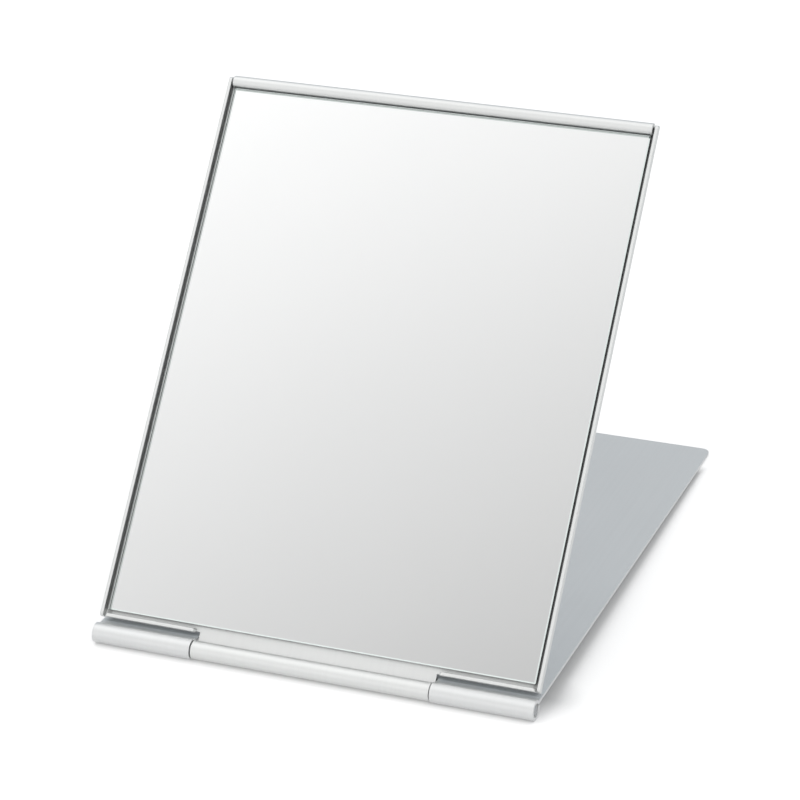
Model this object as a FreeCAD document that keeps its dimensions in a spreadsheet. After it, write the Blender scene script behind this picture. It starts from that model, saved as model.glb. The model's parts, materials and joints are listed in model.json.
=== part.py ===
import FreeCAD, Part
import math
import os
import re
import Sketcher

# A folding desk mirror of bent aluminium sheet. The cover lies behind it as the stand.
# Frame: +X along the hinge to the right, +Y away from the viewer, +Z up, millimetres.
# The origin is under the middle of the opened mirror, on the table.

Vector = FreeCAD.Vector

# The driving dimensions. Heights up the tray are measured from the hinge axis.
sizes = {
    "width": 120.0,            # over the tray's side flanges, and the cover
    "length": 154.2,           # hinge axis to the tray's top, and to the cover's rear edge
    "sheet": 0.8,              # aluminium sheet
    "bend": 1.2,               # outer radius of the sheet's bends
    "open_angle": 51.2,        # degrees between tray and cover, at the stop
    "barrel_radius": 2.6,      # outside of the cover's rolled side knuckles
    "tab_radius": 2.38,        # outside of the tray's centre knuckle, and axis to the tray's back
    "centre_knuckle": 64.8,    # length of the tray's knuckle
    "knuckle_gap": 0.3,        # between neighbouring knuckles
    "seam_gap": 0.2,           # between the tray's rolled edge and its own tab
    "tray_depth": 2.8,         # back of the tray to the front of its flanges
    "lip_level": 4.45,         # underside of the bottom lips
    "lip_tab_gap": 1.0,        # lip's inner end to the tab
    "lip_flange_gap": 0.5,     # lip's outer end to the side flange
    "lip_corner": 0.9,         # rounded front corners of the lips
    "notch_rise": 0.4,         # the notch's edge above the lips' underside
    "flange_round": 0.9,       # front corners of the side flanges
    "flange_drop": 0.55,       # the flanges' ends below the bead's top
    "bead_radius": 1.65,       # outside of the rolled top edge
    "bead_gap": 0.6,           # bead's ends to the flanges
    "glass_thickness": 1.15,
    "glass_side_gap": 0.88,    # glass to the side flanges
    "glass_lip_gap": 1.2,      # glass to the bottom lips
    "glass_bead_gap": 0.2,     # glass to the bead
    "glass_arris": 0.3,        # small bevel round the glass's front
    "coat_thickness": 0.05,    # silver and paint on the glass's back
    "tape_thickness": 0.3,
    "tape_width": 14.0,
    "tape_margin": 8.0,        # tape's ends in from the glass's ends
    "tape_edge": 6.0,          # outer tape in from the glass's sides
    "cover_step": 1.05,        # the cover's face set in from the barrel's top
    "step_radius": 0.8,        # hollow bend behind the side knuckles
    "cover_corner": 2.4,       # rear corners of the cover
    "cover_seam": 0.3,         # the side knuckles' rolled end to the cover's underside
    "stop_gap": 0.1,           # tab to the edge of the cover's cut-out, at the stop
    "pad_diameter": 8.0,
    "pad_height": 0.6,
    "pad_round": 0.2,          # rounded rim of the pads
    "pad_inset": 9.0,          # pad's centre in from the cover's edges
    "pin_diameter": 2.6,
    "pin_inset": 0.1,          # pin's ends in from the barrel's ends
    "pin_chamfer": 0.15,
    "sleeve_inset": 0.4,       # side sleeves in from their knuckle's ends
    "sleeve_length": 18.0,     # sleeves in the centre knuckle
    "sleeve_fit": 0.02,        # sleeve to knuckle, on the radius
    "press_fit": 0.01,         # side sleeves to the pin, on the radius
    "running_fit": 0.03,       # centre sleeves to the pin, on the radius
    "overrun": 2.0,            # how far the cuts pass the sheet
}

# Sizes that follow from the driving ones.
worked = {
    "half_width": "width / 2",
    "half_tab": "centre_knuckle / 2",
    "bore_radius": "barrel_radius - sheet",
    "tray_inside": "tab_radius - sheet",
    "tray_front": "tab_radius - tray_depth",
    "coat_back": "tray_inside - tape_thickness",
    "glass_back": "coat_back - coat_thickness",
    "glass_front": "glass_back - glass_thickness",
    "glass_bottom": "lip_level + sheet + glass_lip_gap",
    "bead_middle": "length - bead_radius",
    "bead_depth": "tab_radius - bead_radius",
    "bead_foot": "bead_middle - bead_radius",
    "bead_bore": "bead_radius - sheet",
    "glass_top": "bead_foot - glass_bead_gap",
    "half_glass": "half_width - sheet - glass_side_gap",
    "notch_top": "lip_level + notch_rise",
    "lip_heel": "lip_level + bend",
    "lip_root": "lip_heel + bend",
    "lip_start": "half_tab + lip_tab_gap",
    "lip_end": "half_width - sheet - lip_flange_gap",
    "flange_top": "length - flange_drop",
    "curl_end": "tray_inside - seam_gap",
    "cover_face": "barrel_radius - cover_step",
    "cover_inside": "cover_face - sheet",
    "roll_end": "cover_inside - cover_seam",
    "step_angle": "acos(1 - cover_step / (barrel_radius + step_radius))",
    "step_end": "(barrel_radius + step_radius) * sin(step_angle)",
    "step_middle": "cover_face + step_radius",
    "pad_place": "length - pad_inset",
    "pad_foot": "cover_inside - pad_height",
    "pad_heel": "pad_place + pad_diameter / 2 - pad_round",
    # The stand's slope when it rests on the barrel and the pads' rims.
    "slope": "asin(barrel_radius / hypot(pad_heel; pad_foot)) + atan2(pad_foot; pad_heel)",
    "recline": "90 - open_angle + slope / 1 deg",
    # Where the tab's back crosses the cover's face at the stop. The cover's cut-out ends just behind it.
    "tab_crossing": "(cover_face + tab_radius * cos(open_angle * 1 deg)) / tan(open_angle * 1 deg)"
                    " + tab_radius * sin(open_angle * 1 deg)",
    "cut_rear": "tab_crossing + stop_gap",
    "half_cut": "half_tab + knuckle_gap",
    "axis_place": "(barrel_radius - length * cos(slope) - cover_face * sin(slope)) / 2",
    "pin_radius": "pin_diameter / 2",
    "side_sleeve": "half_width - half_cut - 2 * sleeve_inset",
}

doc = FreeCAD.newDocument("FoldingMirror")


def make_sheet():
    # One row for each size: the driving numbers first, then what follows from them.
    sheet = doc.addObject("Spreadsheet::Sheet", "Sizes")
    rows = [(name, str(value)) for name, value in sizes.items()]
    rows += [(name, "=" + text) for name, text in worked.items()]
    for row, (name, text) in enumerate(rows, start=1):
        cell = "A%d" % row
        sheet.set(cell, text)
        sheet.setAlias(cell, name)
    doc.recompute()
    return sheet


sheet = make_sheet()


def named(text):
    # Puts the sheet's name before each of its words.
    def prefix(word):
        return "Sizes." + word.group() if word.group() in sizes or word.group() in worked else word.group()
    return re.sub(r"[a-z_]+", prefix, text)


def value(text):
    return float(sheet.evalExpression(named(text)))


def make_body(label, frame):
    # A body whose own origin is on the hinge axis, tipped back with the tray or the cover.
    body = doc.addObject("PartDesign::Body", label)
    body.Label = label
    start_angle = 1
    body.Placement = FreeCAD.Placement(Vector(), FreeCAD.Rotation(Vector(-1, 0, 0), start_angle))
    body.setExpression("Placement.Rotation.Angle", named(frame))
    body.setExpression("Placement.Base.y", named("axis_place"))
    body.setExpression("Placement.Base.z", named("barrel_radius"))
    return body


def place_sketch(body, name, plane, level):
    # A sketch on one of the body's own planes, at a level along that plane's normal.
    sketch = body.newObject("Sketcher::SketchObject", name)
    support = [feature for feature in body.Origin.OriginFeatures if feature.Role == plane]
    sketch.AttachmentSupport = [(support[0], "")]
    sketch.MapMode = "FlatFace"
    sketch.setExpression("AttachmentOffset.Base.z", named(level))
    return sketch


def pin_point(sketch, line, end, across, up):
    # Ties one end of a line or arc to the sheet, measured from the sketch's origin.
    for kind, text, axis in (("DistanceX", across, -2), ("DistanceY", up, -1)):
        if text == "0":
            sketch.addConstraint(Sketcher.Constraint("PointOnObject", line, end, axis))
        else:
            row = sketch.addConstraint(Sketcher.Constraint(kind, -1, 1, line, end, value(text)))
            sketch.setExpression("Constraints[%d]" % row, named(text))


def draw_loop(sketch, steps):
    # A closed outline. Each step is a point (across, up) and, where an arc leaves it, the arc's
    # (centre across, centre up, radius, turn), with turn 1 for anticlockwise and -1 for clockwise.
    first = sketch.GeometryCount
    points = [Vector(value(step[0]), value(step[1]), 0) for step in steps]
    ends = []
    for index, step in enumerate(steps):
        start, stop = points[index], points[(index + 1) % len(points)]
        if len(step) == 2:
            sketch.addGeometry(Part.LineSegment(start, stop), False)
            ends.append((1, 2))
            continue
        centre_across, centre_up, radius, turn = step[2]
        centre = Vector(value(centre_across), value(centre_up), 0)
        low, high = (start, stop) if turn > 0 else (stop, start)
        angles = [math.atan2(point.y - centre.y, point.x - centre.x) for point in (low, high)]
        if angles[1] <= angles[0]:
            angles[1] += 2 * math.pi
        circle = Part.Circle(centre, Vector(0, 0, 1), value(radius))
        arc = sketch.addGeometry(Part.ArcOfCircle(circle, *angles), False)
        row = sketch.addConstraint(Sketcher.Constraint("Radius", arc, value(radius)))
        sketch.setExpression("Constraints[%d]" % row, named(radius))
        ends.append((1, 2) if turn > 0 else (2, 1))
    for index, step in enumerate(steps):
        after = (index + 1) % len(steps)
        sketch.addConstraint(Sketcher.Constraint(
            "Coincident", first + index, ends[index][1], first + after, ends[after][0]))
    for index, step in enumerate(steps):
        pin_point(sketch, first + index, ends[index][0], step[0], step[1])


def draw_circle(sketch, across, up, radius):
    circle = Part.Circle(Vector(value(across), value(up), 0), Vector(0, 0, 1), value(radius))
    ring = sketch.addGeometry(circle, False)
    row = sketch.addConstraint(Sketcher.Constraint("Radius", ring, value(radius)))
    sketch.setExpression("Constraints[%d]" % row, named(radius))
    pin_point(sketch, ring, 3, across, up)


def pad(body, name, plane, level, length, loops, both_ways=False):
    # Adds material: the loops' area, drawn out along the plane's normal, or to both sides of it.
    sketch = place_sketch(body, name + "_sketch", plane, level)
    for loop in loops:
        draw_loop(sketch, loop)
    return extrude(body, name, sketch, length, both_ways)


def extrude(body, name, sketch, length, both_ways=False):
    feature = body.newObject("PartDesign::Pad", name)
    feature.Profile = sketch
    feature.Midplane = both_ways
    feature.setExpression("Length", named(length))
    doc.recompute()
    return feature


def cut(body, name, plane, loops):
    # Takes the loops' area out of the whole body, to both sides of the plane.
    before = body.Shape.Volume
    sketch = place_sketch(body, name + "_sketch", plane, "0")
    for loop in loops:
        draw_loop(sketch, loop)
    feature = body.newObject("PartDesign::Pocket", name)
    feature.Profile = sketch
    feature.Type = "ThroughAll"
    feature.Midplane = True
    doc.recompute()
    if not body.Shape.Volume < before:
        raise RuntimeError(name + " cut nothing")
    return feature


def dress(body, name, kind, size, base, picks):
    # A Fillet or Chamfer on the edges of the base feature that the test picks.
    edges = ["Edge%d" % (index + 1) for index, edge in enumerate(base.Shape.Edges) if picks(edge)]
    feature = body.newObject("PartDesign::" + kind, name)
    feature.Base = (base, edges)
    feature.setExpression("Radius" if kind == "Fillet" else "Size", named(size))
    doc.recompute()
    return feature


def edge_lies_at(axis, level):
    # True for edges that lie wholly at one level along a body axis.
    def test(edge):
        return all(math.isclose(getattr(point.Point, axis), level, abs_tol=1e-6) for point in edge.Vertexes)
    return test


def box_loop(left, right, bottom, top):
    return [(left, bottom), (right, bottom), (right, top), (left, top)]


def mirror_tray():
    # The tray in its own frame: X along the hinge, Y towards its back, Z up the panel.
    body = make_body("mirror_tray", "recline")
    outer = ("tab_radius - bend", "bend")
    inner = ("tab_radius - bend", "bend - sheet")
    left, right = "-half_width + bend", "half_width - bend"
    # The back and both side flanges are one channel, drawn out up the panel.
    pad(body, "channel", "XY_Plane", "lip_level", "flange_top - lip_level", [[
        ("-half_width", "tray_front"),
        ("-half_width + sheet", "tray_front"),
        ("-half_width + sheet", "tab_radius - bend", (left, *inner, -1)),
        (left, "tray_inside"),
        (right, "tray_inside", (right, *inner, -1)),
        ("half_width - sheet", "tab_radius - bend"),
        ("half_width - sheet", "tray_front"),
        ("half_width", "tray_front"),
        ("half_width", "tab_radius - bend", (right, *outer, 1)),
        (right, "tab_radius"),
        (left, "tab_radius", (left, *outer, 1)),
        ("-half_width", "tab_radius - bend"),
    ]])
    # Between the flanges the back stops where the bead begins, and at the two notches.
    cut(body, "bead_relief", "XZ_Plane", [
        box_loop("-half_width + sheet", "half_width - sheet", "bead_middle", "length + overrun"),
    ])
    cut(body, "notches", "XZ_Plane", [
        box_loop("half_tab", "half_width - sheet", "lip_level - overrun", "notch_top"),
        box_loop("-half_width + sheet", "-half_tab", "lip_level - overrun", "notch_top"),
    ])
    # The flanges' ends are rounded: the heel as large as the lips' bends, and both front corners.
    low_round, high_round = "lip_level + flange_round", "flange_top - flange_round"
    front_round = "tray_front + flange_round"
    cut(body, "flange_ends", "YZ_Plane", [
        [
            ("tab_radius - bend", "lip_level", ("tab_radius - bend", "lip_heel", "bend", 1)),
            ("tab_radius", "lip_heel"),
            ("tab_radius + overrun", "lip_heel"),
            ("tab_radius + overrun", "lip_level - overrun"),
            ("tab_radius - bend", "lip_level - overrun"),
        ],
        [
            (front_round, "lip_level", (front_round, low_round, "flange_round", -1)),
            ("tray_front", low_round),
            ("tray_front - overrun", low_round),
            ("tray_front - overrun", "lip_level - overrun"),
            (front_round, "lip_level - overrun"),
        ],
        [
            (front_round, "flange_top", (front_round, high_round, "flange_round", 1)),
            ("tray_front", high_round),
            ("tray_front - overrun", high_round),
            ("tray_front - overrun", "flange_top + overrun"),
            (front_round, "flange_top + overrun"),
        ],
    ])
    # The bottom lips: a bend down from the back, and a flat tongue with rounded corners.
    lip_bend = pad(body, "lip_bend", "YZ_Plane", "lip_start", "lip_end - lip_start", [[
        ("tab_radius - bend", "lip_level", ("tab_radius - bend", "lip_heel", "bend", 1)),
        ("tab_radius", "lip_heel"),
        ("tab_radius", "lip_root"),
        ("tray_inside", "lip_root"),
        ("tray_inside", "lip_heel", ("tab_radius - bend", "lip_heel", "bend - sheet", -1)),
        ("tab_radius - bend", "lip_level + sheet"),
    ]])
    tip = "tray_front + lip_corner"
    lip_tongue = pad(body, "lip_tongue", "XY_Plane", "lip_level", "sheet", [[
        ("lip_start", "tab_radius - bend"),
        ("lip_start", tip, ("lip_start + lip_corner", tip, "lip_corner", 1)),
        ("lip_start + lip_corner", "tray_front"),
        ("lip_end - lip_corner", "tray_front", ("lip_end - lip_corner", tip, "lip_corner", 1)),
        ("lip_end", tip),
        ("lip_end", "tab_radius - bend"),
    ]])
    other_lip = body.newObject("PartDesign::Mirrored", "other_lip")
    other_lip.Originals = [lip_bend, lip_tongue]
    side_plane = [feature for feature in body.Origin.OriginFeatures if feature.Role == "YZ_Plane"]
    other_lip.MirrorPlane = (side_plane[0], [""])
    body.Tip = other_lip
    doc.recompute()
    # The tab goes down behind the pin and rolls under it, up the front and over the top.
    curl_top = "sqrt(tab_radius ^ 2 - curl_end ^ 2)"
    curl_root = "sqrt(tray_inside ^ 2 - curl_end ^ 2)"
    pad(body, "centre_knuckle", "YZ_Plane", "0", "centre_knuckle", [[
        ("tab_radius", "lip_root"),
        ("tab_radius", "0", ("0", "0", "tab_radius", -1)),
        ("curl_end", curl_top),
        ("curl_end", curl_root, ("0", "0", "tray_inside", 1)),
        ("tray_inside", "0"),
        ("tray_inside", "lip_root"),
    ]], both_ways=True)
    # The top edge is rolled forward and down, right round to below its own middle.
    pad(body, "top_bead", "YZ_Plane", "0", "width - 2 * sheet - 2 * bead_gap", [[
        ("tab_radius", "bead_foot"),
        ("tab_radius", "bead_middle", ("bead_depth", "bead_middle", "bead_radius", 1)),
        ("bead_depth", "bead_foot"),
        ("bead_depth", "bead_middle - bead_bore", ("bead_depth", "bead_middle", "bead_bore", -1)),
        ("tray_inside", "bead_middle"),
        ("tray_inside", "bead_foot"),
    ]], both_ways=True)
    return body


def cover_plate():
    # The cover in its own frame: X along the hinge, Y to its rear, Z out of its outer face.
    body = make_body("cover_plate", "slope")
    corner = "length - cover_corner"
    left, right = "-half_width + cover_corner", "half_width - cover_corner"
    pad(body, "plate", "XY_Plane", "cover_inside", "sheet", [[
        ("-half_width", "step_end"),
        ("half_width", "step_end"),
        ("half_width", corner, (right, corner, "cover_corner", 1)),
        (right, "length"),
        (left, "length", (left, corner, "cover_corner", 1)),
        ("-half_width", corner),
    ]])
    # The front edge steps up behind the barrel, rolls over its top and right round to its own underside.
    hollow = ("step_end", "step_middle")
    crest = ("barrel_radius * sin(step_angle)", "barrel_radius * cos(step_angle)")
    under_crest = ("bore_radius * sin(step_angle)", "bore_radius * cos(step_angle)")
    pad(body, "rolled_edge", "YZ_Plane", "0", "width", [[
        ("step_end", "cover_face", (*hollow, "step_radius", -1)),
        (*crest, ("0", "0", "barrel_radius", 1)),
        ("sqrt(barrel_radius ^ 2 - roll_end ^ 2)", "roll_end"),
        ("sqrt(bore_radius ^ 2 - roll_end ^ 2)", "roll_end", ("0", "0", "bore_radius", -1)),
        (*under_crest, (*hollow, "step_radius + sheet", 1)),
        ("step_end", "cover_inside"),
    ]], both_ways=True)
    # The middle is open for the tray's knuckle and tab.
    cut(body, "centre_opening", "XY_Plane", [
        box_loop("-half_cut", "half_cut", "-barrel_radius - overrun", "cut_rear"),
    ])
    return body


def slab(label, back, thickness, left, right, bottom, top):
    # A flat layer of the tray: its back face's depth, and its outline on the panel.
    body = make_body(label, "recline")
    pad(body, label + "_layer", "XZ_Plane", "-(%s)" % back, thickness, [box_loop(left, right, bottom, top)])
    return body


def mirror_glass():
    outline = ("-half_glass", "half_glass", "glass_bottom", "glass_top")
    body = slab("mirror_glass", "glass_back", "glass_thickness", *outline)
    dress(body, "arris", "Chamfer", "glass_arris", body.Tip, edge_lies_at("y", value("glass_front")))
    slab("silver_backing", "coat_back", "coat_thickness", *outline)


def tape_strips():
    # Three upright strips hold the glass to the tray's back.
    reach = "half_glass - tape_edge - tape_width / 2"
    for side, middle in (("left", "-(%s)" % reach), ("middle", "0"), ("right", reach)):
        slab("tape_strip_" + side, "tray_inside", "tape_thickness",
             middle + " - tape_width / 2", middle + " + tape_width / 2",
             "glass_bottom + tape_margin", "glass_top - tape_margin")


def bumper_pads():
    # Two soft pads on the cover's inner face: feet in the stand's pose, and cushions when it is shut.
    for side, across in (("left", "-half_width + pad_inset"), ("right", "half_width - pad_inset")):
        body = make_body("bumper_pad_" + side, "slope")
        sketch = place_sketch(body, "rim", "XY_Plane", "pad_foot")
        draw_circle(sketch, across, "pad_place", "pad_diameter / 2")
        disc = extrude(body, "disc", sketch, "pad_height")
        dress(body, "rounded_rim", "Fillet", "pad_round", disc, edge_lies_at("z", value("pad_foot")))


def hinge_pin():
    body = make_body("hinge_pin", "slope")
    sketch = place_sketch(body, "section", "YZ_Plane", "0")
    draw_circle(sketch, "0", "0", "pin_radius")
    rod = extrude(body, "rod", sketch, "width - 2 * pin_inset", both_ways=True)
    end_ring = value("half_width - pin_inset")
    dress(body, "end_chamfers", "Chamfer", "pin_chamfer", rod,
          lambda edge: edge_lies_at("x", end_ring)(edge) or edge_lies_at("x", -end_ring)(edge))


def friction_sleeves():
    # Plastic sleeves fill the knuckles: the side ones grip the pin, the centre ones turn on it.
    cover_side = ("slope", "side_sleeve", "bore_radius", "press_fit")
    tray_side = ("recline", "sleeve_length", "tray_inside", "running_fit")
    sleeves = (
        ("left", "-half_width + sleeve_inset", *cover_side),
        ("middle_left", "-half_tab", *tray_side),
        ("middle_right", "half_tab - sleeve_length", *tray_side),
        ("right", "half_cut + sleeve_inset", *cover_side),
    )
    for side, start, frame, length, bore, fit in sleeves:
        body = make_body("friction_sleeve_" + side, frame)
        sketch = place_sketch(body, "ring", "YZ_Plane", start)
        draw_circle(sketch, "0", "0", bore + " - sleeve_fit")
        draw_circle(sketch, "0", "0", "pin_radius + " + fit)
        extrude(body, "tube", sketch, length)


def check_and_write():
    # Every object must have computed, and every piece be one valid solid, before any file is written.
    doc.recompute()
    failed = [item.Label for item in doc.Objects if {"Invalid", "Error"} & set(item.State)]
    if failed:
        raise RuntimeError("not computed: " + ", ".join(failed))
    bodies = [item for item in doc.Objects if item.TypeId == "PartDesign::Body"]
    for body in bodies:
        shape = body.Shape
        if shape.isNull() or not shape.isValid() or len(shape.Solids) != 1:
            raise RuntimeError("no single valid solid: " + body.Label)
    os.makedirs("parts", exist_ok=True)
    for body in bodies:
        body.Shape.exportStep("parts/%s.step" % body.Label)
        print("%-28s %9.2f mm3" % (body.Label, body.Shape.Volume))


cover_plate()
hinge_pin()
bumper_pads()
mirror_tray()
mirror_glass()
tape_strips()
friction_sleeves()
check_and_write()
print("slope %.3f, recline %.3f degrees, hinge axis at y %.9f mm" % (
    value("slope / 1 deg"), value("recline"), value("axis_place")))
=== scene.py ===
import json
import math

import bmesh
import bpy
from mathutils import Matrix, Vector


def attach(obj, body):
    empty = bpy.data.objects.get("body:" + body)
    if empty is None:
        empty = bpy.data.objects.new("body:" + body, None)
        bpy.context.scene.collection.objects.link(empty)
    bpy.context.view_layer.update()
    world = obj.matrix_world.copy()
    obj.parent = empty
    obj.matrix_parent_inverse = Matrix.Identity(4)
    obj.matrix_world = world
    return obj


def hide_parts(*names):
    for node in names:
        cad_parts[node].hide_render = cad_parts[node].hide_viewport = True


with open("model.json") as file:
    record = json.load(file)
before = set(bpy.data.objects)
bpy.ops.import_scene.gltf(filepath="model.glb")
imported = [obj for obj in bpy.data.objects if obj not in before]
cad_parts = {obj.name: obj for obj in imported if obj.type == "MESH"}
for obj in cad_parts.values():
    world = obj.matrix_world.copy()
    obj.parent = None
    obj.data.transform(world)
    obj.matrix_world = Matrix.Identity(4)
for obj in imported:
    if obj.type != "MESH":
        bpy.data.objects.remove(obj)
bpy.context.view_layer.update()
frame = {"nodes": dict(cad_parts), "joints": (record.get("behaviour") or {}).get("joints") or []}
nodes = frame["nodes"]
hinge = Vector(frame["joints"][0]["pos_m"])
mm = 0.001


def hexColour(text):
    # sRGB hex to the linear numbers that the sockets want
    parts = [int(text[i:i + 2], 16) / 255 for i in (1, 3, 5)]
    linear = [p / 12.92 if p <= 0.04045 else ((p + 0.055) / 1.055) ** 2.4 for p in parts]
    return (*linear, 1.0)


def addNode(tree, kind, inputs=None, **settings):
    # one node: its settings, then each socket's constant or the link that feeds it
    node = tree.nodes.new(kind)
    for name, value in settings.items():
        setattr(node, name, value)
    for socket, value in (inputs or {}).items():
        if isinstance(value, bpy.types.NodeSocket):
            tree.links.new(value, node.inputs[socket])
        else:
            node.inputs[socket].default_value = value
    return node


def newMaterial(name):
    material = bpy.data.materials.new(name)
    material.use_nodes = True
    material.node_tree.nodes.clear()
    return material, material.node_tree


def perMetre(sizeMm):
    # a pattern's scale from the size of one grain in millimetres
    return 1 / (sizeMm * mm)


# The tray leans back from the table, the cover lies almost flat. The lean comes from the glass's
# large face.
glassFace = max(nodes["mirror_glass"].data.polygons, key=lambda face: face.area).normal.copy()
trayLean = math.atan2(abs(glassFace.z), abs(glassFace.y))
mirrorFace = Vector((0, -math.cos(trayLean), math.sin(trayLean)))
print("tray leans back %.1f degrees" % math.degrees(trayLean))

# Aluminium sheet, fine blasted and clear anodised: a broad soft sheen with a grain too fine to pick
# out, faint rolling lines up the sheet, edges that shine a little more where they were sheared and
# rubbed, and painted shade that darkens the colour in folds, where another surface stands near.
satinSheet = {
    "grainMm": 0.30,                # the real blast is about 0.05 mm, drawn coarser so that it shows
    "grainNoise": (3.0, 0.6),       # detail and roughness of the noise itself
    "grainDepthMm": 0.004, "grainBump": 0.35,
    "grainSpan": (0.3, 0.7),        # the part of the noise that changes the shine
    "roughSpread": 0.04,            # and by how much, either way
    "rollMm": 0.9,                  # spacing of the rolling lines
    "rollLengthMm": 60.0,
    "rollNoise": (4.0, 0.55),
    "cloudMm": 35.0,                # slow drift of the oxide's tone
    "cloudDetail": 2.0,
    "toneSpan": (0.7, 1.3),         # rolling and drift added up, from the darker tone to the full one
    "edgeMm": 0.14,                 # softened width of the sheet's edges
    "edgeTurn": (0.995, 0.85),      # cosine of the normal's turn where an edge begins, and is full
    "edgeTone": "#EDEEEE",          # a rubbed edge's tone
    "edgeRough": -0.1,              # and what it adds to the roughness
    "edgeSamples": 6, "roundSamples": 8,
    "foldMm": 3.0,                  # how near another surface has to be to make a fold
    "foldSamples": 8,
    "foldOpen": (0.1, 0.6),         # openness deep in a fold, and where the fold ends
    "paintedFoldShade": 0.30,               # share of the tone left where the painted fold shade is deepest
    "underTurn": (-0.1, -0.5),      # the normal's Z where an underside begins, and is full
    "outerMm": (45.0, 55.0),        # where the outer flanks begin, and are full, from the middle
    "gapAtMm": (57.4, 58.0),        # where the tray's side gaps begin, and are full, from the middle
    "gapDeepMm": (0.6, 1.2),        # how far behind the hinge's axis their shade begins, and is full
}


def satinAluminium(name, look):
    material, tree = newMaterial(name)
    place = addNode(tree, "ShaderNodeTexCoord")
    square = addNode(tree, "ShaderNodeMapping", {
        "Vector": place.outputs["Object"],
        "Rotation": (look["lean"], 0, 0)})
    grainDetail, grainFine = satinSheet["grainNoise"]
    grain = addNode(tree, "ShaderNodeTexNoise", {
        "Vector": square.outputs["Vector"],
        "Scale": perMetre(satinSheet["grainMm"]),
        "Detail": grainDetail,
        "Roughness": grainFine})
    rollAcross, rollAlong = perMetre(satinSheet["rollMm"]), perMetre(satinSheet["rollLengthMm"])
    drawn = addNode(tree, "ShaderNodeMapping", {
        "Vector": square.outputs["Vector"],
        "Scale": (rollAcross, rollAlong, rollAlong)})
    rollDetail, rollFine = satinSheet["rollNoise"]
    rolling = addNode(tree, "ShaderNodeTexNoise", {
        "Vector": drawn.outputs["Vector"],
        "Scale": 1.0,   # the mapping has the scale
        "Detail": rollDetail,
        "Roughness": rollFine})
    cloud = addNode(tree, "ShaderNodeTexNoise", {
        "Vector": square.outputs["Vector"],
        "Scale": perMetre(satinSheet["cloudMm"]),
        "Detail": satinSheet["cloudDetail"]})
    mixed = addNode(tree, "ShaderNodeMath", {
        0: rolling.outputs["Fac"], 1: cloud.outputs["Fac"]}, operation="ADD")
    toneFrom, toneFull = satinSheet["toneSpan"]
    toneShare = addNode(tree, "ShaderNodeMapRange", {
        "Value": mixed.outputs["Value"], "From Min": toneFrom, "From Max": toneFull})
    colour = addNode(tree, "ShaderNodeMix", {
        "Factor": toneShare.outputs["Result"],
        "A": hexColour(look["darker"]), "B": hexColour(look["tone"])}, data_type="RGBA")
    # edges: where the softened normal turns away from the true one
    soft = addNode(tree, "ShaderNodeBevel", {
        "Radius": satinSheet["edgeMm"] * mm}, samples=satinSheet["edgeSamples"])
    true = addNode(tree, "ShaderNodeNewGeometry")
    turn = addNode(tree, "ShaderNodeVectorMath", {
        0: soft.outputs["Normal"], 1: true.outputs["Normal"]}, operation="DOT_PRODUCT")
    edgeFrom, edgeFull = satinSheet["edgeTurn"]
    edge = addNode(tree, "ShaderNodeMapRange", {
        "Value": turn.outputs["Value"], "From Min": edgeFrom, "From Max": edgeFull})
    rubbed = addNode(tree, "ShaderNodeMix", {
        "Factor": edge.outputs["Result"],
        "A": colour.outputs["Result"], "B": hexColour(satinSheet["edgeTone"])}, data_type="RGBA")
    # painted shade: the colour is darkened where another surface stands near, in folds and gaps
    fold = addNode(tree, "ShaderNodeAmbientOcclusion", {
        "Distance": satinSheet["foldMm"] * mm}, samples=satinSheet["foldSamples"])
    # painted shade: the narrow gaps along the glass's sides are drawn darker than their depth alone
    # says
    spot = addNode(tree, "ShaderNodeSeparateXYZ", {"Vector": place.outputs["Object"]})
    outwards = addNode(tree, "ShaderNodeMath", {0: spot.outputs["X"]}, operation="ABSOLUTE")
    gapFrom, gapFull = (value * mm for value in satinSheet["gapAtMm"])
    sideGap = addNode(tree, "ShaderNodeMapRange", {
        "Value": outwards.outputs["Value"], "From Min": gapFrom, "From Max": gapFull,
        "To Max": -look["gapShade"]})
    frontward = addNode(tree, "ShaderNodeVectorMath", {
        0: place.outputs["Normal"], 1: mirrorFace}, operation="DOT_PRODUCT")
    level = addNode(tree, "ShaderNodeVectorMath", {
        0: place.outputs["Object"], 1: mirrorFace}, operation="DOT_PRODUCT")
    deepFrom, deepFull = (hinge.dot(mirrorFace) - value * mm for value in satinSheet["gapDeepMm"])
    deep = addNode(tree, "ShaderNodeMapRange", {
        "Value": level.outputs["Value"], "From Min": deepFrom, "From Max": deepFull})
    gapFloor = addNode(tree, "ShaderNodeMath", {
        0: frontward.outputs["Value"], 1: deep.outputs["Result"]}, operation="MINIMUM")
    openness = addNode(tree, "ShaderNodeMath", {
        0: sideGap.outputs["Result"], 1: gapFloor.outputs["Value"], 2: fold.outputs["AO"]},
        operation="MULTIPLY_ADD")
    openFrom, openFull = satinSheet["foldOpen"]
    foldShadeShare = addNode(tree, "ShaderNodeMapRange", {
        "Value": openness.outputs["Value"], "From Min": openFrom, "From Max": openFull,
        "To Min": satinSheet["paintedFoldShade"]})
    # no painted fold shade on the barrel, and more of it the farther behind the axis
    foldFrom, foldFull = (hinge.y + value * mm for value in look["foldBehindMm"])
    power = addNode(tree, "ShaderNodeMapRange", {
        "Value": spot.outputs["Y"], "From Min": foldFrom, "From Max": foldFull,
        "To Max": look["foldPower"]})
    deepenedFoldShade = addNode(tree, "ShaderNodeMath", {
        0: foldShadeShare.outputs["Result"], 1: power.outputs["Result"]}, operation="POWER")
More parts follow.
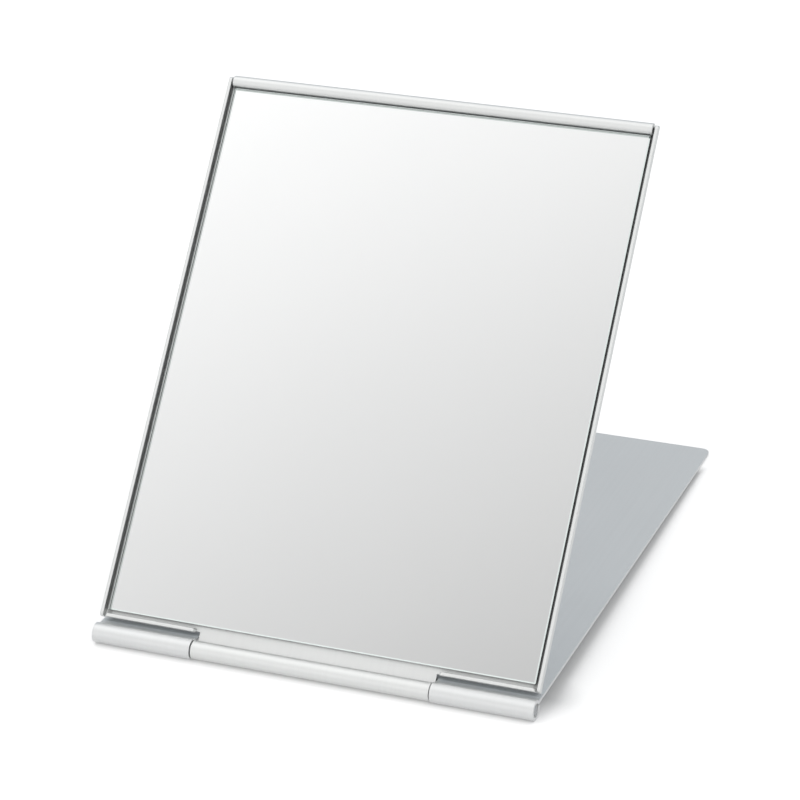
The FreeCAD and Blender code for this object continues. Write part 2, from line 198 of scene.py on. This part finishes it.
    # undersides and outer flanks get no painted fold shade: near them is the table or the glass, not a
    # fold
    faces = addNode(tree, "ShaderNodeSeparateXYZ", {"Vector": place.outputs["Normal"]})
    underFrom, underFull = satinSheet["underTurn"]
    under = addNode(tree, "ShaderNodeMapRange", {
        "Value": faces.outputs["Z"], "From Min": underFrom, "From Max": underFull})
    flank = addNode(tree, "ShaderNodeMath", {0: faces.outputs["X"]}, operation="ABSOLUTE")
    outerFrom, outerFull = (value * mm for value in satinSheet["outerMm"])
    outer = addNode(tree, "ShaderNodeMapRange", {
        "Value": outwards.outputs["Value"], "From Min": outerFrom, "From Max": outerFull})
    outerFlank = addNode(tree, "ShaderNodeMath", {
        0: flank.outputs["Value"], 1: outer.outputs["Result"]}, operation="MULTIPLY")
    foldShadeFree = addNode(tree, "ShaderNodeMath", {
        0: under.outputs["Result"], 1: outerFlank.outputs["Value"]}, operation="MAXIMUM")
    paintedFoldShade = addNode(tree, "ShaderNodeMix", {
        "Factor": foldShadeFree.outputs["Value"],
        "A": deepenedFoldShade.outputs["Value"], "B": 1.0}, data_type="FLOAT")
    shaded = addNode(tree, "ShaderNodeMix", {
        "Factor": 1.0, "A": rubbed.outputs["Result"], "B": paintedFoldShade.outputs["Result"]},
        data_type="RGBA", blend_type="MULTIPLY")
    grainFrom, grainFull = satinSheet["grainSpan"]
    grainRough = addNode(tree, "ShaderNodeMapRange", {
        "Value": grain.outputs["Fac"], "From Min": grainFrom, "From Max": grainFull,
        "To Min": look["rough"] - satinSheet["roughSpread"],
        "To Max": look["rough"] + satinSheet["roughSpread"]})
    edgeRough = addNode(tree, "ShaderNodeMath", {
        0: edge.outputs["Result"], 1: satinSheet["edgeRough"], 2: grainRough.outputs["Result"]},
        operation="MULTIPLY_ADD")
    rounded = addNode(tree, "ShaderNodeBevel", {
        "Radius": look["roundMm"] * mm}, samples=satinSheet["roundSamples"])
    bump = addNode(tree, "ShaderNodeBump", {
        "Strength": satinSheet["grainBump"], "Distance": satinSheet["grainDepthMm"] * mm,
        "Height": grain.outputs["Fac"], "Normal": rounded.outputs["Normal"]})
    metal = addNode(tree, "ShaderNodeBsdfPrincipled", {
        "Base Color": shaded.outputs["Result"],
        "Metallic": 1.0,
        "Roughness": edgeRough.outputs["Value"],
        "Normal": bump.outputs["Normal"]})
    addNode(tree, "ShaderNodeOutputMaterial", {"Surface": metal.outputs["BSDF"]})
    return material


coverSheet = {
    "tone": "#EDEEEE", "darker": "#EAEBEB", "rough": 0.47,
    "lean": 0.0,
    "roundMm": 0.14,                # how far light sees the sheet's edges rounded
    "gapShade": 0.0,                # the cover has no gaps beside the glass
    "foldBehindMm": (3.8, 5.6),     # where the fold shade begins, and is full, behind the hinge's axis
    "foldPower": 6.6,               # deep under the tray's lips
}
traySheet = {
    # the tray's tone is a little lighter than the cover's: painted light on the same anodised sheet
    "tone": "#F0F1F0", "darker": "#EDEEED", "rough": 0.47,
    "lean": trayLean,
    "roundMm": 0.36,
    "gapShade": 0.5,
    "foldBehindMm": (2.6, 7.0),
    "foldPower": 1.0,
}
coverFinish = satinAluminium("satinAnodisedCover", coverSheet)
trayFinish = satinAluminium("satinAnodisedTray", traySheet)

# Float glass, polished and cut, with a ground arris: clear across its face and sea-green along its
# edges, with the faintest haze left by wiping.
floatGlass = {
    "body": "#DDF3EC", "absorbsPerM": 14.0, "ior": 1.52,
    "face": "#FFFFFF", "edge": "#D2DFDB",
    "faceTurn": 0.98,               # cosine of the turn from the face where the cut edge begins
    "edgeShadeColour": "#39434A",          # painted shade on the cut edge where a flange stands close to it
    "deepMm": 1.5,                  # how close that is
    "deepOpen": (0.25, 0.65),       # openness where the edge is darkest, and where it is plain
    "deepSamples": 8,
    "insidePaintedLight": 0.6,             # painted light in the edge as seen from inside the pane
    "wipeMm": 18.0, "wipeDetail": 5.0,
    "wipeSpan": (0.35, 0.75),       # the part of the noise that turns to haze
    "haze": 0.006,                  # roughness where the haze is strongest
}
glassFinish, tree = newMaterial("polishedFloatGlass")
place = addNode(tree, "ShaderNodeTexCoord")
wipe = addNode(tree, "ShaderNodeTexNoise", {
    "Vector": place.outputs["Object"],
    "Scale": perMetre(floatGlass["wipeMm"]), "Detail": floatGlass["wipeDetail"]})
wipeFrom, wipeFull = floatGlass["wipeSpan"]
haze = addNode(tree, "ShaderNodeMapRange", {
    "Value": wipe.outputs["Fac"], "From Min": wipeFrom, "From Max": wipeFull,
    "To Max": floatGlass["haze"]})
facing = addNode(tree, "ShaderNodeVectorMath", {
    0: place.outputs["Normal"], 1: glassFace}, operation="DOT_PRODUCT")
offFace = addNode(tree, "ShaderNodeMath", {0: facing.outputs["Value"]}, operation="ABSOLUTE")
cutEdge = addNode(tree, "ShaderNodeMath", {
    0: offFace.outputs["Value"], 1: floatGlass["faceTurn"]}, operation="LESS_THAN")
# painted shade: the cut edge is darkened where a flange stands close
edgeShadeOcclusion = addNode(tree, "ShaderNodeAmbientOcclusion", {
    "Distance": floatGlass["deepMm"] * mm}, samples=floatGlass["deepSamples"])
openFrom, openFull = floatGlass["deepOpen"]
openShare = addNode(tree, "ShaderNodeMapRange", {
    "Value": edgeShadeOcclusion.outputs["AO"], "From Min": openFrom, "From Max": openFull})
# painted light: seen from inside the pane, the edge is drawn lighter
inside = addNode(tree, "ShaderNodeNewGeometry")
insidePaintedLight = addNode(tree, "ShaderNodeMath", {
    0: inside.outputs["Backfacing"], 1: floatGlass["insidePaintedLight"]}, operation="MULTIPLY")
lightShare = addNode(tree, "ShaderNodeMath", {
    0: openShare.outputs["Result"], 1: insidePaintedLight.outputs["Value"]}, operation="MAXIMUM")
edgeTone = addNode(tree, "ShaderNodeMix", {
    "Factor": lightShare.outputs["Value"],
    "A": hexColour(floatGlass["edgeShadeColour"]), "B": hexColour(floatGlass["edge"])}, data_type="RGBA")
body = addNode(tree, "ShaderNodeMix", {
    "Factor": cutEdge.outputs["Value"],
    "A": hexColour(floatGlass["face"]), "B": edgeTone.outputs["Result"]}, data_type="RGBA")
pane = addNode(tree, "ShaderNodeBsdfPrincipled", {
    "Base Color": body.outputs["Result"], "Roughness": haze.outputs["Result"],
    "IOR": floatGlass["ior"], "Transmission Weight": 1.0})
green = addNode(tree, "ShaderNodeVolumeAbsorption", {
    "Color": hexColour(floatGlass["body"]), "Density": floatGlass["absorbsPerM"]})
addNode(tree, "ShaderNodeOutputMaterial", {
    "Surface": pane.outputs["BSDF"], "Volume": green.outputs["Volume"]})

# Silver laid wet on the glass and painted over: a bright, hardly tinted mirror, a trace uneven.
wetSilver = {"flowMm": 45.0, "flowDetail": 2.0, "tones": ("#F8F8F8", "#FAFAFA"), "rough": 0.01}
silverFinish, tree = newMaterial("wetSilveredCoat")
place = addNode(tree, "ShaderNodeTexCoord")
flow = addNode(tree, "ShaderNodeTexNoise", {
    "Vector": place.outputs["Object"],
    "Scale": perMetre(wetSilver["flowMm"]), "Detail": wetSilver["flowDetail"]})
thin, thick = (hexColour(tone) for tone in wetSilver["tones"])
sheen = addNode(tree, "ShaderNodeMix", {
    "Factor": flow.outputs["Fac"], "A": thin, "B": thick}, data_type="RGBA")
mirror = addNode(tree, "ShaderNodeBsdfPrincipled", {
    "Base Color": sheen.outputs["Result"], "Metallic": 1.0, "Roughness": wetSilver["rough"]})
addNode(tree, "ShaderNodeOutputMaterial", {"Surface": mirror.outputs["BSDF"]})

# Steel rod, cold drawn: cooler and darker than the sheet, with fine lines along its length.
drawnSteel = {
    "lineMm": 0.15,                 # the real lines are a few hundredths apart, drawn coarser to show
    "lineLengthMm": 12.0, "lineDetail": 4.0, "lineDepthMm": 0.003, "lineBump": 0.3,
    "tones": ("#A9ACAF", "#C6C8CA"), "rough": (0.22, 0.42),
}
pinFinish, tree = newMaterial("drawnSteelPin")
place = addNode(tree, "ShaderNodeTexCoord")
lineAlong, lineAcross = perMetre(drawnSteel["lineLengthMm"]), perMetre(drawnSteel["lineMm"])
along = addNode(tree, "ShaderNodeMapping", {
    "Vector": place.outputs["Object"],
    "Scale": (lineAlong, lineAcross, lineAcross)})
lines = addNode(tree, "ShaderNodeTexNoise", {
    "Vector": along.outputs["Vector"], "Scale": 1.0, "Detail": drawnSteel["lineDetail"]})
grooveTone, ridgeTone = (hexColour(tone) for tone in drawnSteel["tones"])
steelTone = addNode(tree, "ShaderNodeMix", {
    "Factor": lines.outputs["Fac"], "A": grooveTone, "B": ridgeTone}, data_type="RGBA")
smoothest, roughest = drawnSteel["rough"]
steelRough = addNode(tree, "ShaderNodeMapRange", {
    "Value": lines.outputs["Fac"], "To Min": smoothest, "To Max": roughest})
steelBump = addNode(tree, "ShaderNodeBump", {
    "Strength": drawnSteel["lineBump"], "Distance": drawnSteel["lineDepthMm"] * mm,
    "Height": lines.outputs["Fac"]})
steel = addNode(tree, "ShaderNodeBsdfPrincipled", {
    "Base Color": steelTone.outputs["Result"], "Metallic": 1.0,
    "Roughness": steelRough.outputs["Result"], "Normal": steelBump.outputs["Normal"]})
addNode(tree, "ShaderNodeOutputMaterial", {"Surface": steel.outputs["BSDF"]})

# Acetal, moulded in its natural colour: milky grey-white with a low waxy shine and a fine
# spark-eroded skin.
mouldedAcetal = {
    "skinMm": 0.25,                 # real spark erosion is finer than 0.1 mm, drawn coarser to show
    "skinDetail": 3.0, "skinDepthMm": 0.01, "skinBump": 0.4,
    "tones": ("#BFC0BD", "#D3D4D0"), "rough": (0.4, 0.6), "ior": 1.48,
}
sleeveFinish, tree = newMaterial("mouldedAcetalSleeve")
place = addNode(tree, "ShaderNodeTexCoord")
skin = addNode(tree, "ShaderNodeTexNoise", {
    "Vector": place.outputs["Object"],
    "Scale": perMetre(mouldedAcetal["skinMm"]), "Detail": mouldedAcetal["skinDetail"]})
pitTone, peakTone = (hexColour(tone) for tone in mouldedAcetal["tones"])
skinTone = addNode(tree, "ShaderNodeMix", {
    "Factor": skin.outputs["Fac"], "A": pitTone, "B": peakTone}, data_type="RGBA")
smoothest, roughest = mouldedAcetal["rough"]
skinRough = addNode(tree, "ShaderNodeMapRange", {
    "Value": skin.outputs["Fac"], "To Min": smoothest, "To Max": roughest})
skinBump = addNode(tree, "ShaderNodeBump", {
    "Strength": mouldedAcetal["skinBump"], "Distance": mouldedAcetal["skinDepthMm"] * mm,
    "Height": skin.outputs["Fac"]})
acetal = addNode(tree, "ShaderNodeBsdfPrincipled", {
    "Base Color": skinTone.outputs["Result"], "Roughness": skinRough.outputs["Result"],
    "IOR": mouldedAcetal["ior"], "Normal": skinBump.outputs["Normal"]})
addNode(tree, "ShaderNodeOutputMaterial", {"Surface": acetal.outputs["BSDF"]})

# Silicone rubber, die cut: milky grey and matt, with a thin dusting that clings to it.
milkySilicone = {
    "dustMm": 0.8,                  # width of the patches of dust
    "dustNoise": (5.0, 0.65),       # detail and roughness of the noise itself
    "dustDepthMm": 0.02, "dustBump": 0.3,
    "tones": ("#AEB1B2", "#C9CBCB"), "rough": (0.45, 0.75), "ior": 1.41,
}
padFinish, tree = newMaterial("milkySiliconePad")
place = addNode(tree, "ShaderNodeTexCoord")
dustDetail, dustFine = milkySilicone["dustNoise"]
dust = addNode(tree, "ShaderNodeTexNoise", {
    "Vector": place.outputs["Object"], "Scale": perMetre(milkySilicone["dustMm"]),
    "Detail": dustDetail, "Roughness": dustFine})
bareTone, dustyTone = (hexColour(tone) for tone in milkySilicone["tones"])
padTone = addNode(tree, "ShaderNodeMix", {
    "Factor": dust.outputs["Fac"], "A": bareTone, "B": dustyTone}, data_type="RGBA")
smoothest, roughest = milkySilicone["rough"]
padRough = addNode(tree, "ShaderNodeMapRange", {
    "Value": dust.outputs["Fac"], "To Min": smoothest, "To Max": roughest})
padBump = addNode(tree, "ShaderNodeBump", {
    "Strength": milkySilicone["dustBump"], "Distance": milkySilicone["dustDepthMm"] * mm,
    "Height": dust.outputs["Fac"]})
silicone = addNode(tree, "ShaderNodeBsdfPrincipled", {
    "Base Color": padTone.outputs["Result"], "Roughness": padRough.outputs["Result"],
    "IOR": milkySilicone["ior"], "Normal": padBump.outputs["Normal"]})
addNode(tree, "ShaderNodeOutputMaterial", {"Surface": silicone.outputs["BSDF"]})

# Foam tape, slit from a roll: chalky white, with the foam's open cells showing.
foamTape = {
    "cellMm": 0.15, "cellDepthMm": 0.03, "cellBump": 0.5,
    "tones": ("#DEDDD8", "#F2F1EE"), "rough": 0.85,
}
tapeFinish, tree = newMaterial("slitFoamTape")
place = addNode(tree, "ShaderNodeTexCoord")
cells = addNode(tree, "ShaderNodeTexVoronoi", {
    "Vector": place.outputs["Object"], "Scale": perMetre(foamTape["cellMm"])})
cellTone, wallTone = (hexColour(tone) for tone in foamTape["tones"])
tapeTone = addNode(tree, "ShaderNodeMix", {
    "Factor": cells.outputs["Distance"], "A": cellTone, "B": wallTone}, data_type="RGBA")
tapeBump = addNode(tree, "ShaderNodeBump", {
    "Strength": foamTape["cellBump"], "Distance": foamTape["cellDepthMm"] * mm,
    "Height": cells.outputs["Distance"]})
foam = addNode(tree, "ShaderNodeBsdfPrincipled", {
    "Base Color": tapeTone.outputs["Result"], "Roughness": foamTape["rough"],
    "Normal": tapeBump.outputs["Normal"]})
addNode(tree, "ShaderNodeOutputMaterial", {"Surface": foam.outputs["BSDF"]})

finishes = {    # by the start of the piece's name
    "cover_plate": coverFinish,
    "mirror_tray": trayFinish,
    "mirror_glass": glassFinish,
    "hinge_pin": pinFinish,
    "tape_strip": tapeFinish,
    "friction_sleeve": sleeveFinish,
    "bumper_pad": padFinish,
}
for name, piece in nodes.items():
    for start, finish in finishes.items():
        if name.startswith(start):
            for slot in piece.material_slots:
                slot.material = finish
print("materials on the solids")

# The silver coat stands a hair's breadth into the glass, so that light meets it inside the pane.
coatFit = {"intoGlassMm": 0.01, "edgeMm": 0.05}


def silverCoat():
    points = [v.co.copy() for v in nodes["silver_backing"].data.vertices]
    lean = Matrix.Rotation(trayLean, 3, "X")
    flat = [lean @ (p - hinge) for p in points]
    low = Vector([min(p[i] for p in flat) for i in range(3)])
    high = Vector([max(p[i] for p in flat) for i in range(3)])
    inset = coatFit["edgeMm"] * mm
    front = low.y - coatFit["intoGlassMm"] * mm
    mesh = bmesh.new()
    corners = [mesh.verts.new(hinge + lean.transposed() @ Vector((x, y, z)))
               for y in (front, high.y)
               for x, z in ((low.x + inset, low.z + inset), (high.x - inset, low.z + inset),
                            (high.x - inset, high.z - inset), (low.x + inset, high.z - inset))]
    # the front, the back and the four sides
    mesh.faces.new(corners[0:4])
    mesh.faces.new(corners[7:3:-1])
    for i in range(4):
        j = (i + 1) % 4
        mesh.faces.new((corners[j], corners[i], corners[i + 4], corners[j + 4]))
    bmesh.ops.recalc_face_normals(mesh, faces=mesh.faces)
    data = bpy.data.meshes.new("silverCoat")
    mesh.to_mesh(data)
    mesh.free()
    piece = bpy.data.objects.new("silverCoat", data)
    bpy.context.scene.collection.objects.link(piece)
    data.materials.append(silverFinish)
    return piece


coat = silverCoat()
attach(coat, "mirror")
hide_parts("silver_backing")
print("silver coat in the glass")

# A pale plane of floor that keeps the shadow. The camera sees it lifted to white, except right beside
# the mirror, where an occlusion mask fades the lift into a painted contact shadow.
floorLook = {
    "sizeM": 12.0, "colour": "#CFCFCF",
    "liftColour": "#FFFFFF", "lift": 0.56, "glossLift": 0.24,
    "contactMm": 15.0, "contactSamples": 16,
    # beside the cover: openness where the lift starts and where it is full, and the least lift
    "beside": (0.60, 0.97, 0.04),
    "inFront": (0.0, 0.8, 0.14),    # the same in front of the barrel, where the painted shadow is lighter and narrower
    "frontMm": (10.0, -2.0),        # the change from one to the other, behind the barrel's axis
    "leftMm": (0.0, -30.0),         # and towards the left, where the painted shadow is lighter too
    "rearMm": (65.0, 70.0),         # where the painted shadow ends, short of the cover's rear, which stands clear of the floor
}
bpy.ops.mesh.primitive_plane_add(size=floorLook["sizeM"], location=(0, 0, 0))
floor = bpy.context.object
floor.name = "studioFloor"
floorFinish, tree = newMaterial("paleFloor")
rays = addNode(tree, "ShaderNodeLightPath")
seen = addNode(tree, "ShaderNodeMath", {
    0: rays.outputs["Is Camera Ray"], 1: rays.outputs["Is Transmission Ray"]}, operation="MAXIMUM")
# painted contact shadow: the camera-seen lift is cut where surfaces stand near
near = addNode(tree, "ShaderNodeAmbientOcclusion", {
    "Distance": floorLook["contactMm"] * mm}, samples=floorLook["contactSamples"])
beside, inFront = (addNode(tree, "ShaderNodeMapRange", {
    "Value": near.outputs["AO"], "From Min": start, "From Max": full, "To Min": least})
    for start, full, least in (floorLook["beside"], floorLook["inFront"]))
floorPlace = addNode(tree, "ShaderNodeTexCoord")
floorAxes = addNode(tree, "ShaderNodeSeparateXYZ", {"Vector": floorPlace.outputs["Object"]})
frontFrom, frontFull = (hinge.y + value * mm for value in floorLook["frontMm"])
frontShare = addNode(tree, "ShaderNodeMapRange", {
    "Value": floorAxes.outputs["Y"], "From Min": frontFrom, "From Max": frontFull})
leftFrom, leftFull = (value * mm for value in floorLook["leftMm"])
leftShare = addNode(tree, "ShaderNodeMapRange", {
    "Value": floorAxes.outputs["X"], "From Min": leftFrom, "From Max": leftFull})
litShare = addNode(tree, "ShaderNodeMath", {
    0: frontShare.outputs["Result"], 1: leftShare.outputs["Result"]}, operation="MAXIMUM")
clear = addNode(tree, "ShaderNodeMix", {
    "Factor": litShare.outputs["Value"],
    "A": beside.outputs["Result"], "B": inFront.outputs["Result"]}, data_type="FLOAT")
rearFrom, rearFull = (value * mm for value in floorLook["rearMm"])
rearShare = addNode(tree, "ShaderNodeMapRange", {
    "Value": floorAxes.outputs["Y"], "From Min": rearFrom, "From Max": rearFull})
bare = addNode(tree, "ShaderNodeMath", {
    0: clear.outputs["Result"], 1: rearShare.outputs["Result"]}, operation="MAXIMUM")
lifted = addNode(tree, "ShaderNodeMath", {
    0: seen.outputs["Value"], 1: bare.outputs["Value"]}, operation="MULTIPLY")
gloss = addNode(tree, "ShaderNodeMath", {
    0: rays.outputs["Is Glossy Ray"], 1: floorLook["glossLift"]}, operation="MULTIPLY")
lift = addNode(tree, "ShaderNodeMath", {
    0: lifted.outputs["Value"], 1: floorLook["lift"], 2: gloss.outputs["Value"]},
    operation="MULTIPLY_ADD")
paper = addNode(tree, "ShaderNodeBsdfDiffuse", {"Color": hexColour(floorLook["colour"])})
white = addNode(tree, "ShaderNodeEmission", {
    "Color": hexColour(floorLook["liftColour"]), "Strength": lift.outputs["Value"]})
both = addNode(tree, "ShaderNodeAddShader", {0: paper.outputs["BSDF"], 1: white.outputs["Emission"]})
addNode(tree, "ShaderNodeOutputMaterial", {"Surface": both.outputs["Shader"]})
floor.data.materials.append(floorFinish)

# The room: a bright ceiling, a white wall low in front and a grey one behind, and a softly shaded
# patch of ceiling where the mirror looks.
room = {
    "ceiling": 1.06, "frontWall": "#FFFFFF", "backWall": "#B5BBC0",
    "frontAt": -0.5, "backAt": 0.4,                     # the change from one wall to the other
    "tilt": -0.15, "wallTop": 0.72, "wallFull": 0.55,   # the walls' upper edge
    "mirrorLooks": (-0.338, -0.569, 0.747), "patchEdge": 0.86, "patchFull": 0.97,
    "towardsBright": (-0.2587, 0.957, -0.1323),         # the way the patch gets brighter
    "dimAt": -0.68, "brightAt": -0.459, "dim": 0.497, "bright": 1.12,
}
world = bpy.data.worlds.new("studioRoom")
bpy.context.scene.world = world
world.use_nodes = True
tree = world.node_tree
tree.nodes.clear()
place = addNode(tree, "ShaderNodeTexCoord")
towards = addNode(tree, "ShaderNodeVectorMath", {
    0: place.outputs["Generated"],
    1: Vector(room["towardsBright"]).normalized()}, operation="DOT_PRODUCT")
shade = addNode(tree, "ShaderNodeMapRange", {
    "Value": towards.outputs["Value"], "From Min": room["dimAt"], "From Max": room["brightAt"],
    "To Min": room["dim"], "To Max": room["bright"]})
around = addNode(tree, "ShaderNodeVectorMath", {
    0: place.outputs["Generated"],
    1: Vector(room["mirrorLooks"]).normalized()}, operation="DOT_PRODUCT")
patch = addNode(tree, "ShaderNodeMapRange", {
    "Value": around.outputs["Value"], "From Min": room["patchEdge"], "From Max": room["patchFull"]},
    interpolation_type="SMOOTHSTEP")
ceiling = addNode(tree, "ShaderNodeMix", {
    "Factor": patch.outputs["Result"],
    "A": room["ceiling"], "B": shade.outputs["Result"]}, data_type="FLOAT")
axes = addNode(tree, "ShaderNodeSeparateXYZ", {"Vector": place.outputs["Generated"]})
behind = addNode(tree, "ShaderNodeMapRange", {
    "Value": axes.outputs["Y"], "From Min": room["frontAt"], "From Max": room["backAt"]})
wall = addNode(tree, "ShaderNodeMix", {
    "Factor": behind.outputs["Result"],
    "A": hexColour(room["frontWall"]), "B": hexColour(room["backWall"])}, data_type="RGBA")
height = addNode(tree, "ShaderNodeMath", {
    0: axes.outputs["Y"], 1: room["tilt"], 2: axes.outputs["Z"]}, operation="MULTIPLY_ADD")
wallShare = addNode(tree, "ShaderNodeMapRange", {
    "Value": height.outputs["Value"], "From Min": room["wallTop"], "From Max": room["wallFull"]})
sky = addNode(tree, "ShaderNodeMix", {
    "Factor": wallShare.outputs["Result"],
    "A": ceiling.outputs["Result"], "B": wall.outputs["Result"]}, data_type="RGBA")
light = addNode(tree, "ShaderNodeBackground", {"Color": sky.outputs["Result"], "Strength": 1.0})
addNode(tree, "ShaderNodeOutputWorld", {"Surface": light.outputs["Background"]})

# One soft box, high on the left.
softBox = {"place": (-0.75, 0.15, 0.95), "sizeM": 0.5, "watts": 0.5}
lamp = bpy.data.lights.new("softBox", "AREA")
lamp.size = softBox["sizeM"]
lamp.energy = softBox["watts"]
lampPiece = bpy.data.objects.new("softBox", lamp)
lampPiece.location = softBox["place"]
lampPiece.rotation_euler = (-Vector(softBox["place"])).to_track_quat("-Z", "Y").to_euler()
bpy.context.scene.collection.objects.link(lampPiece)
print("floor, room and lamp")

# The camera stands where the photograph was taken from, worked out from the edges in it.
shot = {
    "azimuth": 21.2955, "elevation": 24.9402, "roll": -1.2015,     # degrees
    "distanceM": 0.80768, "target": (0.015698, -0.035801, 0.073512),
    "lensMm": 144.4496, "sensorMm": 36.0, "shift": (-0.025, -0.05), "clipM": (0.01, 50.0),
}
az, el, roll = (math.radians(shot[key]) for key in ("azimuth", "elevation", "roll"))
back = Vector((math.sin(az) * math.cos(el), -math.cos(az) * math.cos(el), math.sin(el)))
right = Vector((math.cos(az), math.sin(az), 0))
up = back.cross(right)
tiltedRight = math.cos(roll) * right + math.sin(roll) * up
tiltedUp = math.cos(roll) * up - math.sin(roll) * right
eye = Vector(shot["target"]) + back * shot["distanceM"]
camera = bpy.data.cameras.new("camera")
camera.sensor_fit = "HORIZONTAL"
camera.sensor_width = shot["sensorMm"]
camera.lens = shot["lensMm"]
camera.shift_x, camera.shift_y = shot["shift"]
camera.clip_start, camera.clip_end = shot["clipM"]
cameraPiece = bpy.data.objects.new("camera", camera)
cameraAxes = Matrix((tiltedRight, tiltedUp, back)).transposed().to_4x4()
cameraPiece.matrix_world = Matrix.Translation(eye) @ cameraAxes
bpy.context.scene.collection.objects.link(cameraPiece)
bpy.context.scene.camera = cameraPiece
bpy.context.scene.view_settings.view_transform = "Standard"
